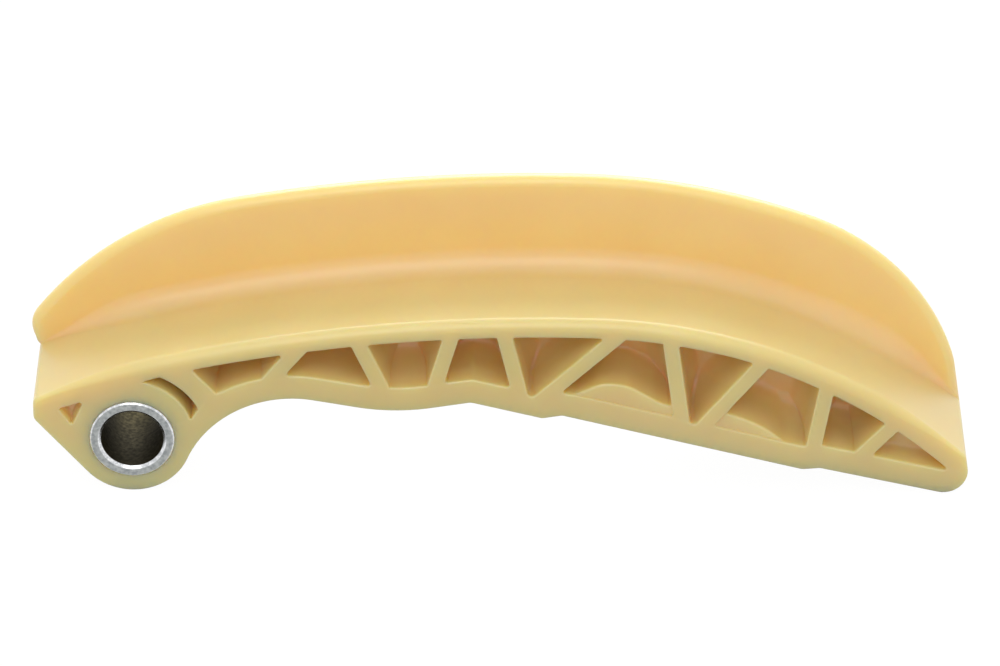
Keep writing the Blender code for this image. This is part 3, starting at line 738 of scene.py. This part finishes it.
def boss_pockets():
    """The crescent over the sleeve and the three-cornered pocket at the heel."""
    inner = widening_arc(CRESCENT_INNER_RADII, CRESCENT_INNER_ARC)
    outer = widening_arc(CRESCENT_OUTER_RADII, CRESCENT_OUTER_ARC)[::-1]
    last = CRESCENT_STEPS
    ends = dict.fromkeys((0, last, last + 1, 2 * last + 1), CRESCENT_CORNER_RADIUS)
    heel = [Vector(corner) for corner in HEEL_POCKET_CORNERS]
    return (inner + outer, ends), (heel, dict.fromkeys(range(3), UPPER_CORNER_RADIUS))


def pocket_ring(outline, grow):
    """A pocket's outline grown by a distance, every corner rounded with the same number of points."""
    points, corners = outline
    count = len(points)
    moved = []
    for index, point in enumerate(points):
        into = (point - points[index - 1]).normalized()
        out = (points[(index + 1) % count] - point).normalized()
        first, second = Vector((-into.y, into.x)), Vector((-out.y, out.x))
        middle = (first + second).normalized()
        moved.append(point + middle * (grow / middle.dot(first)))
    ring = []
    for index, point in enumerate(moved):
        if index in corners:
            radius = max(corners[index] + grow, SMALLEST_CORNER)
            after = moved[(index + 1) % count]
            ring += rounded_corner(moved[index - 1], point, after, radius, POCKET_CORNER_STEPS)
        else:
            ring.append(point)
    return ring


def soft_share(normal):
    """How much a wall lies under the pocket, where the moulding's edge is softer: 0 over it, 1 under it."""
    return smooth((SOFT_LIP_FROM - normal.y) / SOFT_LIP_OVER)


def middle_of(ring):
    """For each point of a ring, the middle of the area inside."""
    area, middle = 0.0, Vector((0.0, 0.0))
    for before, point in zip(ring[-1:] + ring, ring):
        share = before.x * point.y - before.y * point.x
        area += share
        middle += (before + point) * share
    return [middle / (3 * area)] * len(ring)


def middle_arc(ring):
    """For each point of the crescent, the point midway between its two arcs."""
    radius = sum(CRESCENT_INNER_RADII + CRESCENT_OUTER_RADII) / 4
    return [PIVOT + (point - PIVOT).normalized() * radius for point in ring]


def pocket_rings(plain, risen, softness, bottom, middles):
    """One pocket's skin as rings of (depth, point), from its lip at the face to its rounded bottom."""
    wall, crest = pocket_ring(plain, 0.0), pocket_ring(risen, 0.0)
    rises = [(high - low).length for low, high in zip(wall, crest)]
    carries = max(rises) > SHELF_LOWEST
    if not carries:
        risen, rises = plain, [0.0] * len(wall)
    normals = outward(wall)
    radii = []
    for normal, rise in zip(normals, rises):
        soft = softness * soft_share(normal) * (1 - min(1.0, rise / SHELF_LOWEST))
        radii.append(CRISP_LIP_RADIUS + (SOFT_LIP_RADIUS - CRISP_LIP_RADIUS) * soft)
    rings = []
    for step in range(LIP_STEPS + 1):
        turn = QUARTER * step / LIP_STEPS
        rings.append([(radius * (1 - math.cos(turn)), point + normal * radius * (1 - math.sin(turn)))
                      for point, normal, radius in zip(wall, normals, radii)])
    if carries:
        rings += shelf_rings(wall, crest, rises, radii)
    foot = pocket_ring(risen, -POCKET_DRAFT)
    goals = middles(foot)
    rise = min(POCKET_FLOOR_RISE, bottom / 2)
    for step in range(FLOOR_STEPS + 1):
        turn = QUARTER * step / FLOOR_STEPS
        drawn_in = POCKET_FLOOR_SHARE * (1 - math.cos(turn))
        ring = [point.lerp(goal, drawn_in) for point, goal in zip(foot, goals)]
        rings.append(level(ring, bottom - rise * (1 - math.sin(turn))))
    return rings


def shelf_rings(wall, risen, rises, lips):
    """The front of a shelf: from the pocket's wall out over the shelf's face and round its crest."""
    count = 2 * SHELF_STEPS + 2
    last = SHELF_SETBACK + SHELF_CREST_RADIUS
    rings = []
    for step in range(count):
        turn = QUARTER * (step % (SHELF_STEPS + 1)) / SHELF_STEPS
        ring = []
        for low, high, rise, lip in zip(wall, risen, rises, lips):
            root = min(SHELF_ROOT_RADIUS, rise / 2)
            crest = min(SHELF_CREST_RADIUS, rise / 2)
            if step <= SHELF_STEPS:
                climbed = root * (1 - math.cos(turn))
                depth = SHELF_SETBACK - root * (1 - math.sin(turn))
            else:
                climbed = rise - crest * (1 - math.sin(turn))
                depth = SHELF_SETBACK + crest * (1 - math.cos(turn))
            share = min(1.0, rise / SHELF_LOWEST)
            place = low.lerp(high, climbed / rise) if rise > 1e-7 else low
            even = lip + (last - lip) * (step + 1) / count
            ring.append((depth * share + even * (1 - share), place))
        rings.append(ring)
    return rings


# ---------------------------------------------------------------- meshes

def placed(ring):
    return [ORIGIN + Vector((point.x, depth, point.y)) for depth, point in ring]


def ring_edges(bm, ring):
    return [bm.edges.get((ring[index - 1], ring[index])) for index in range(len(ring))]


def first_ring(bm, ring):
    """A closed ring of edges in its place."""
    verts = [bm.verts.new(place) for place in placed(ring)]
    for index in range(len(verts)):
        bm.edges.new((verts[index - 1], verts[index]))
    return verts


def pulled(bm, verts, ring):
    """The ring of edges extruded once, and the new ring put in its place."""
    made = bmesh.ops.extrude_edge_only(bm, edges=ring_edges(bm, verts))["geom"]
    fresh = {item for item in made if isinstance(item, bmesh.types.BMVert)}
    verts = [next(e.other_vert(v) for e in v.link_edges if e.other_vert(v) in fresh) for v in verts]
    for vert, place in zip(verts, placed(ring)):
        vert.co = place
    return verts


def skin(bm, rings):
    """A wall through all the rings; gives the edges of its first and of its last ring."""
    verts = first_ring(bm, rings[0])
    start = ring_edges(bm, verts)
    for ring in rings[1:]:
        verts = pulled(bm, verts, ring)
    return start, ring_edges(bm, verts)


def filled(bm, edges):
    bmesh.ops.triangle_fill(bm, use_beauty=True, use_dissolve=False, edges=edges)


def finished(bm, name, finish):
    """The mesh closed up, facing outwards and smooth, as a piece that rides on the guide."""
    bmesh.ops.recalc_face_normals(bm, faces=bm.faces)
    for face in bm.faces:
        face.smooth = True
    mesh = bpy.data.meshes.new(name)
    bm.to_mesh(mesh)
    bm.free()
    piece = bpy.data.objects.new(name, mesh)
    bpy.context.scene.collection.objects.link(piece)
    mesh.materials.append(finish)
    weighted = piece.modifiers.new("even_shading", "WEIGHTED_NORMAL")
    weighted.mode = "FACE_AREA"
    weighted.weight = 50
    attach(piece, "root")
    return piece


def moulded_guide():
    """The rail, its boss and its flange as one closed moulding."""
    bm = bmesh.new()
    front, back = skin(bm, body_rings())
    run = [point for point in sorted(underside(), key=lambda point: point.x) if point.x > BOSS_RADIUS]
    floor = lower_wall(([point.x for point in run], [point.y for point in run]))
    truss = list(zip(truss_pockets(floor, floor), truss_pockets(floor, shelved(floor))))
    crescent, heel = boss_pockets()
    pockets = [(plain, risen, POCKET_DEPTH, middle_of) for plain, risen in truss[:-1]]
    pockets += [(*truss[-1], TIP_POCKET_DEPTH, middle_of), (crescent, crescent, POCKET_DEPTH, middle_arc),
                (heel, heel, HEEL_POCKET_DEPTH, middle_of)]
    for plain, risen, bottom, middles in pockets:
        lip, foot = skin(bm, pocket_rings(plain, risen, 1.0, bottom, middles))
        front += lip
        filled(bm, foot)
        rings = pocket_rings(plain, plain, 0.0, min(bottom, BACK_POCKET_DEPTH), middles)
        lip, foot = skin(bm, [[(BODY_DEPTH - depth, point) for depth, point in ring] for ring in rings])
        back += lip
        filled(bm, foot)
    lip, foot = skin(bm, seat_rings())
    filled(bm, front + lip)
    filled(bm, back + foot)
    return finished(bm, "moulded_guide", nylon())


def seat_rings():
    """The bore that holds the sleeve, with its small lips at both faces."""
    def circle(radius):
        return arc(PIVOT, radius, 0.0, -2 * math.pi, SLEEVE_SIDES)[:-1]

    seat = SLEEVE_RADIUS + SEAT_GAP
    lips = []
    for step in range(LIP_STEPS + 1):
        turn = QUARTER * step / LIP_STEPS
        lips.append((SEAT_LIP_RADIUS * (1 - math.cos(turn)), seat + SEAT_LIP_RADIUS * (1 - math.sin(turn))))
    rings = [level(circle(radius), depth) for depth, radius in lips]
    return rings + [level(circle(radius), BODY_DEPTH - depth) for depth, radius in lips[::-1]]


def turned_sleeve():
    """The steel sleeve, turned from its half section, with broken edges at both ends."""
    half = BODY_DEPTH / 2 + SLEEVE_PROUD
    section = [
        Vector((SLEEVE_RADIUS, 0.0)),
        Vector((SLEEVE_RADIUS, half - SLEEVE_OUTER_CHAMFER)),
        Vector((SLEEVE_RADIUS - SLEEVE_OUTER_CHAMFER, half)),
        Vector((SLEEVE_BORE_RADIUS + SLEEVE_INNER_CHAMFER, half)),
        Vector((SLEEVE_BORE_RADIUS, half - SLEEVE_INNER_CHAMFER)),
        Vector((SLEEVE_BORE_RADIUS, 0.0)),
    ]
    profile = [section[0]]
    for before, corner, after in zip(section, section[1:], section[2:]):
        profile += rounded_corner(before, corner, after, SLEEVE_EDGE_RADIUS, 4)
    profile.append(section[-1])
    mirrored = [Vector((point.x, -point.y)) for point in profile[::-1]]
    profile += mirrored[1:-1]
    bm = bmesh.new()
    verts = [bm.verts.new((point.x, point.y, 0.0)) for point in profile]
    edges = [bm.edges.new((verts[index - 1], verts[index])) for index in range(len(verts))]
    bmesh.ops.spin(bm, geom=verts + edges, cent=(0, 0, 0), axis=(0, 1, 0), angle=2 * math.pi,
                   steps=SLEEVE_SIDES, use_merge=True)
    bmesh.ops.remove_doubles(bm, verts=bm.verts, dist=1e-7)
    axis = ORIGIN + Vector((PIVOT.x, BODY_DEPTH / 2, PIVOT.y))
    bmesh.ops.translate(bm, vec=axis, verts=bm.verts)
    return finished(bm, "turned_sleeve", zinc_plated_steel(axis))


# ---------------------------------------------------------------- finishes

def new_material(name):
    material = bpy.data.materials.new(name)
    material.use_nodes = True
    tree = material.node_tree
    return material, tree.nodes, tree.links, tree.nodes["Principled BSDF"]


def fine_grain():
    """Shared surface grain: a soft cloud of shade and a fine relief, both on the object's own coordinates."""
    group = bpy.data.node_groups.new("fine_grain", "ShaderNodeTree")
    for name, value in (("Cloud Scale", 60.0), ("Grain Scale", 4000.0), ("Cloud Detail", 2.0)):
        socket = group.interface.new_socket(name, in_out="INPUT", socket_type="NodeSocketFloat")
        socket.default_value = value
    group.interface.new_socket("Cloud", in_out="OUTPUT", socket_type="NodeSocketFloat")
    group.interface.new_socket("Grain", in_out="OUTPUT", socket_type="NodeSocketFloat")
    nodes, links = group.nodes, group.links
    given, put_out = nodes.new("NodeGroupInput"), nodes.new("NodeGroupOutput")
    place = nodes.new("ShaderNodeTexCoord")
    cloud, grain = nodes.new("ShaderNodeTexNoise"), nodes.new("ShaderNodeTexNoise")
    grain.inputs["Detail"].default_value = 3.0
    links.new(place.outputs["Object"], cloud.inputs["Vector"])
    links.new(place.outputs["Object"], grain.inputs["Vector"])
    links.new(given.outputs["Cloud Scale"], cloud.inputs["Scale"])
    links.new(given.outputs["Cloud Detail"], cloud.inputs["Detail"])
    links.new(given.outputs["Grain Scale"], grain.inputs["Scale"])
    links.new(cloud.outputs["Fac"], put_out.inputs["Cloud"])
    links.new(grain.outputs["Fac"], put_out.inputs["Grain"])
    return group


FINE_GRAIN = fine_grain()


def grain_node(nodes, cloud_scale, grain_scale):
    node = nodes.new("ShaderNodeGroup")
    node.node_tree = FINE_GRAIN
    node.inputs["Cloud Scale"].default_value = cloud_scale
    node.inputs["Grain Scale"].default_value = grain_scale
    return node


def ramp(nodes, stops):
    """A colour ramp with these (place, colour) stops."""
    node = nodes.new("ShaderNodeValToRGB")
    elements = node.color_ramp.elements
    while len(elements) < len(stops):
        elements.new(0.5)
    for element, (place, colour) in zip(elements, stops):
        element.position = place
        element.color = (*colour, 1.0)
    return node


def scaled(nodes, links, source, low, high):
    """A value between 0 and 1 brought between two others."""
    node = nodes.new("ShaderNodeMapRange")
    node.inputs["From Min"].default_value = 0.3
    node.inputs["From Max"].default_value = 0.7
    node.inputs["To Min"].default_value = low
    node.inputs["To Max"].default_value = high
    links.new(source, node.inputs["Value"])
    return node.outputs["Result"]


def bump(nodes, links, height, strength, distance):
    node = nodes.new("ShaderNodeBump")
    node.inputs["Strength"].default_value = strength
    node.inputs["Distance"].default_value = distance
    links.new(height, node.inputs["Height"])
    return node.outputs["Normal"]


def nylon():
    """Natural cream nylon: satin, a little translucent, slightly uneven in tone."""
    material, nodes, links, shader = new_material("natural_nylon")
    grain = grain_node(nodes, 70.0, 2600.0)
    tone = ramp(nodes, NYLON_TONES)
    links.new(grain.outputs["Cloud"], tone.inputs["Fac"])
    links.new(tone.outputs["Color"], shader.inputs["Base Color"])
    links.new(scaled(nodes, links, grain.outputs["Cloud"], *NYLON_ROUGHNESS), shader.inputs["Roughness"])
    links.new(bump(nodes, links, grain.outputs["Grain"], 0.12, GRAIN_RELIEF), shader.inputs["Normal"])
    shader.inputs["IOR"].default_value = 1.53
    shader.inputs["Specular IOR Level"].default_value = 0.75
    shader.inputs["Sheen Weight"].default_value = 0.05
    shader.inputs["Sheen Roughness"].default_value = 0.4
    shader.inputs["Subsurface Weight"].default_value = 1.0
    shader.inputs["Subsurface Radius"].default_value = NYLON_GLOW_DEPTH
    shader.inputs["Subsurface Scale"].default_value = NYLON_GLOW_SCALE
    return material


def by_radius(nodes, links, radius, stops):
    """A colour that changes with the distance from the sleeve's axis, given as (radius, colour) stops."""
    low, high = SLEEVE_BORE_RADIUS - STEEL_MARGIN, SLEEVE_RADIUS + STEEL_MARGIN
    share = nodes.new("ShaderNodeMapRange")
    share.inputs["From Min"].default_value = low
    share.inputs["From Max"].default_value = high
    links.new(radius, share.inputs["Value"])
    colours = ramp(nodes, [((place - low) / (high - low), colour) for place, colour in stops])
    links.new(share.outputs["Result"], colours.inputs["Fac"])
    return colours.outputs["Color"]


def zinc_plated_steel(axis):
    """Zinc-plated steel: dull mottled end faces, a painted highlight on the broken edges, painted shade in the
    bore and fine turning marks.
    """
    material, nodes, links, shader = new_material("zinc_plated_steel")
    grain = grain_node(nodes, 1900.0, 6000.0)
    place = nodes.new("ShaderNodeTexCoord")
    centred = nodes.new("ShaderNodeMapping")
    centred.inputs["Location"].default_value = (-axis.x, 0.0, -axis.z)
    centred.inputs["Scale"].default_value = (1.0, 0.0, 1.0)
    radius = nodes.new("ShaderNodeVectorMath")
    radius.operation = "LENGTH"
    links.new(place.outputs["Object"], centred.inputs["Vector"])
    links.new(centred.outputs["Vector"], radius.inputs[0])
    inner, outer = SLEEVE_BORE_RADIUS + SLEEVE_INNER_CHAMFER, SLEEVE_RADIUS - SLEEVE_OUTER_CHAMFER
    # painted shade: inside the bore's radius the ramp gives the near-black bore colour
    edges = (SLEEVE_BORE_RADIUS + 0.02 * MM, SLEEVE_BORE_RADIUS + 0.07 * MM,
             inner - 0.03 * MM, inner + 0.05 * MM, outer - 0.05 * MM, outer + 0.03 * MM)
    # painted highlight: the chamfers and the outer rim take the bright colour, with the dull face between them
    colours = (PAINTED_BORE_SHADE, PAINTED_CHAMFER_HIGHLIGHT, PAINTED_CHAMFER_HIGHLIGHT, DULL_STEEL, DULL_STEEL, PAINTED_CHAMFER_HIGHLIGHT)
    roughness = [(STEEL_ROUGHNESS[zone],) * 3 for zone in ("bore", "edge", "edge", "face", "face", "rim")]
    plain = by_radius(nodes, links, radius.outputs["Value"], tuple(zip(edges, colours)))
    satin = by_radius(nodes, links, radius.outputs["Value"], tuple(zip(edges, roughness)))
    mottle = ramp(nodes, STEEL_MOTTLE)
    links.new(grain.outputs["Cloud"], mottle.inputs["Fac"])
    tone = nodes.new("ShaderNodeMix")
    tone.data_type = "RGBA"
    tone.blend_type = "MULTIPLY"
    tone.inputs["Factor"].default_value = 1.0
    links.new(plain, tone.inputs["A"])
    links.new(mottle.outputs["Color"], tone.inputs["B"])
    links.new(tone.outputs["Result"], shader.inputs["Base Color"])
    shader.inputs["Metallic"].default_value = 1.0
    uneven = nodes.new("ShaderNodeMath")
    uneven.operation = "ADD"
    links.new(satin, uneven.inputs[0])
    links.new(scaled(nodes, links, grain.outputs["Cloud"], 0.08, -0.06), uneven.inputs[1])
    links.new(uneven.outputs["Value"], shader.inputs["Roughness"])
    marks = nodes.new("ShaderNodeTexNoise")
    marks.noise_dimensions = "1D"
    marks.inputs["Scale"].default_value = 9000.0
    marks.inputs["Detail"].default_value = 2.0
    links.new(radius.outputs["Value"], marks.inputs["W"])
    relief = nodes.new("ShaderNodeMath")
    relief.operation = "ADD"
    links.new(marks.outputs["Fac"], relief.inputs[0])
    links.new(grain.outputs["Cloud"], relief.inputs[1])
    links.new(bump(nodes, links, relief.outputs["Value"], 0.12, GRAIN_RELIEF), shader.inputs["Normal"])
    return material


# ---------------------------------------------------------------- studio

def mixed_by_ray(nodes, links, lit, seen, kinds):
    """A shader that gives one look to the light and another to the rays of these kinds."""
    path = nodes.new("ShaderNodeLightPath")
    share = path.outputs[kinds[0]]
    for kind in kinds[1:]:
        either = nodes.new("ShaderNodeMath")
        either.operation = "MAXIMUM"
        links.new(share, either.inputs[0])
        links.new(path.outputs[kind], either.inputs[1])
        share = either.outputs["Value"]
    mix = nodes.new("ShaderNodeMixShader")
    links.new(share, mix.inputs["Fac"])
    links.new(lit, mix.inputs[1])
    links.new(seen, mix.inputs[2])
    return mix.outputs["Shader"]


WHITE_FOR = ("Is Camera Ray", "Is Glossy Ray", "Is Transmission Ray")


def studio_world():
    """Even soft light from everywhere, seen as plain white."""
    world = bpy.data.worlds.new("studio")
    world.use_nodes = True
    nodes, links = world.node_tree.nodes, world.node_tree.links
    light = nodes["Background"]
    light.inputs["Color"].default_value = SKY_COLOUR
    light.inputs["Strength"].default_value = SKY_STRENGTH
    white = nodes.new("ShaderNodeBackground")
    white.inputs["Color"].default_value = (1.0, 1.0, 1.0, 1.0)
    white.inputs["Strength"].default_value = 1.0
    mixed = mixed_by_ray(nodes, links, light.outputs["Background"], white.outputs["Background"], WHITE_FOR)
    links.new(mixed, nodes["World Output"].inputs["Surface"])
    bpy.context.scene.world = world


def studio_floor():
    """A white table that keeps a faint shadow."""
    material, nodes, links, shader = new_material("white_table")
    shader.inputs["Base Color"].default_value = (TABLE_GREY, TABLE_GREY, TABLE_GREY, 1.0)
    shader.inputs["Roughness"].default_value = 0.9
    shader.inputs["Specular IOR Level"].default_value = 0.0
    glow = nodes.new("ShaderNodeEmission")
    glow.inputs["Color"].default_value = (1.0, 1.0, 1.0, 1.0)
    faint = nodes.new("ShaderNodeMixShader")
    faint.inputs["Fac"].default_value = TABLE_GLOW_SHARE
    glow.inputs["Strength"].default_value = TABLE_GLOW
    links.new(shader.outputs["BSDF"], faint.inputs[1])
    links.new(glow.outputs["Emission"], faint.inputs[2])
    mixed = mixed_by_ray(nodes, links, shader.outputs["BSDF"], faint.outputs["Shader"], WHITE_FOR)
    links.new(mixed, nodes["Material Output"].inputs["Surface"])
    bm = bmesh.new()
    bmesh.ops.create_grid(bm, x_segments=4, y_segments=4, size=TABLE_HALF_WIDTH)
    mesh = bpy.data.meshes.new("table")
    bm.to_mesh(mesh)
    bm.free()
    table = bpy.data.objects.new("table", mesh)
    table.location = (0.0, 0.0, -TABLE_DROP)
    mesh.materials.append(material)
    bpy.context.scene.collection.objects.link(table)


def soft_box(name, place, power):
    """A square soft light at a place, turned towards the guide."""
    light = bpy.data.lights.new(name, "AREA")
    light.size = SOFT_BOX_SIZE
    light.energy = power
    lamp = bpy.data.objects.new(name, light)
    lamp.location = place
    lamp.rotation_euler = (Vector(SOFT_BOX_AIM) - Vector(place)).to_track_quat("-Z", "Y").to_euler()
    bpy.context.scene.collection.objects.link(lamp)


def studio_camera():
    """A long lens looking down on the ribbed face and square to it, as the guide lies a hair toe-down."""
    data = bpy.data.cameras.new("camera")
    data.sensor_fit = "HORIZONTAL"
    data.sensor_width = CAMERA_SENSOR
    data.lens = CAMERA_LENS
    data.clip_end = 10.0
    camera = bpy.data.objects.new("camera", data)
    base = Matrix.Translation(CAMERA_PLACE) @ Matrix.Rotation(QUARTER - CAMERA_ELEVATION, 4, "X")
    to_part = Matrix.Translation(PIVOT_PLACE) @ Matrix.Rotation(GUIDE_TILT, 4, "Y")
    camera.matrix_world = to_part @ Matrix.Translation(CAMERA_AIM) @ base
    bpy.context.scene.collection.objects.link(camera)
    bpy.context.scene.camera = camera


def build():
    guide = moulded_guide()
    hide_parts("guide_body")
    sleeve = turned_sleeve()
    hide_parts("pivot_sleeve")
    studio_world()
    studio_floor()
    for name, place, power in SOFT_BOXES:
        soft_box(name, place, power)
    studio_camera()
    bpy.context.scene.view_settings.view_transform = "Standard"


build()
